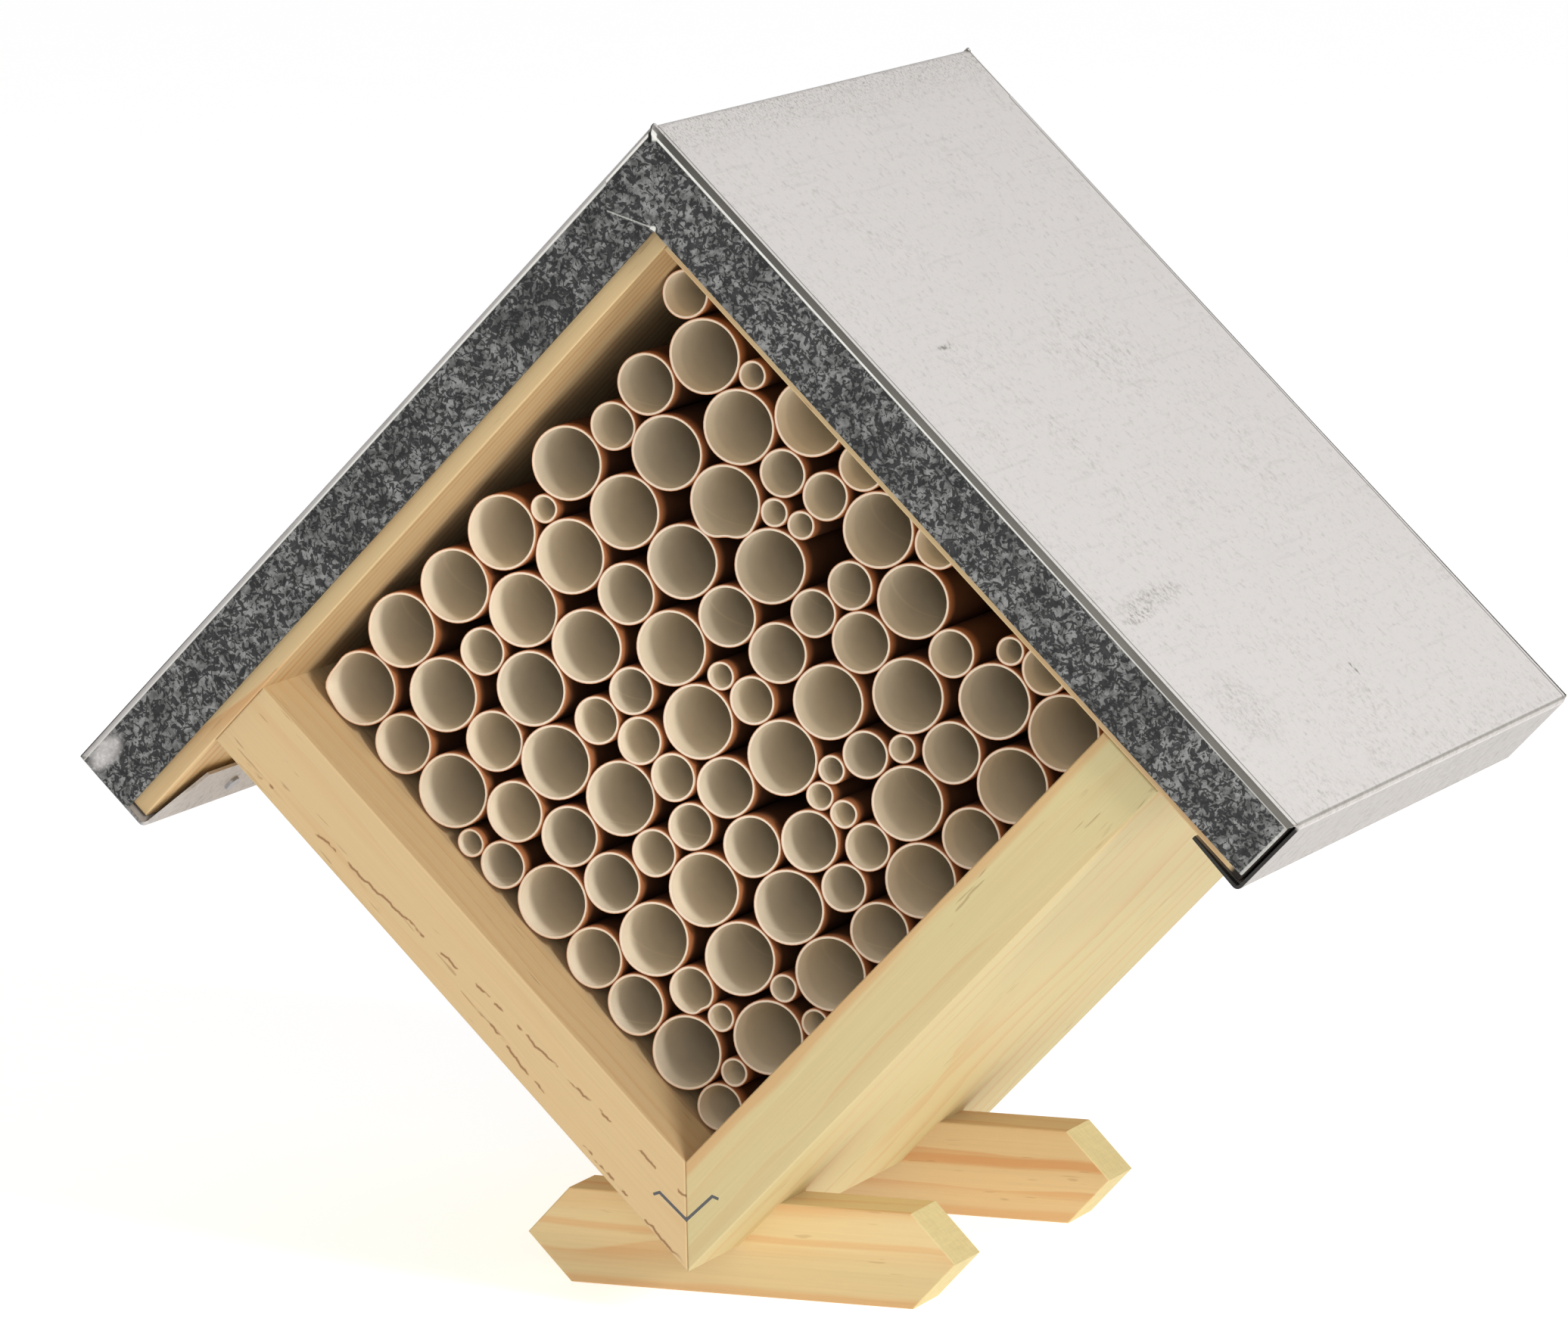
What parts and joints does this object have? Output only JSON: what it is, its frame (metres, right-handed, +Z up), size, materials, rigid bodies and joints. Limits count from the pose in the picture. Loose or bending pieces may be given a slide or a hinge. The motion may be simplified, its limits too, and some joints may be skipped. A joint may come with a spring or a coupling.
{
  "type": "insect hotel",
  "caption": "Small bee hotel: a square pine box on its corner with a ridge roof under folded zinc sheet, packed with open paper nesting tubes, on two notched feet.",
  "frame": {"origin": "on the ground under the middle of the box, midway between the front and rear fascias", "axes": "+X to the right seen from the open front, +Y to the closed back, +Z up"},
  "size_m": [0.1922, 0.1166, 0.175],
  "materials": {
    "pine": "planed, untreated",
    "zinc_sheet": "hot-dip galvanised, spangled",
    "tube_paper": "matt wound paper",
    "steel": "plain wire"
  },
  "bodies": {
    "root": {"lower_left_wall": "pine", "lower_right_wall": "pine", "left_roof_board": "pine", "right_roof_board": "pine", "back_panel": "pine", "front_foot": "pine", "rear_foot": "pine", "roof_sheet": "zinc_sheet", "left_wall_nails": "steel", "right_wall_nails": "steel", "ridge_nails": "steel", "back_panel_pins": "steel", "left_lip_nails": "steel", "right_lip_nails": "steel", "foot_screws": "steel", "front_v_nail": "steel", "rear_v_nail": "steel", "tubes_10mm": "tube_paper", "tubes_8mm": "tube_paper", "tubes_6mm": "tube_paper", "tubes_3mm": "tube_paper"}
  },
  "joints": []
}
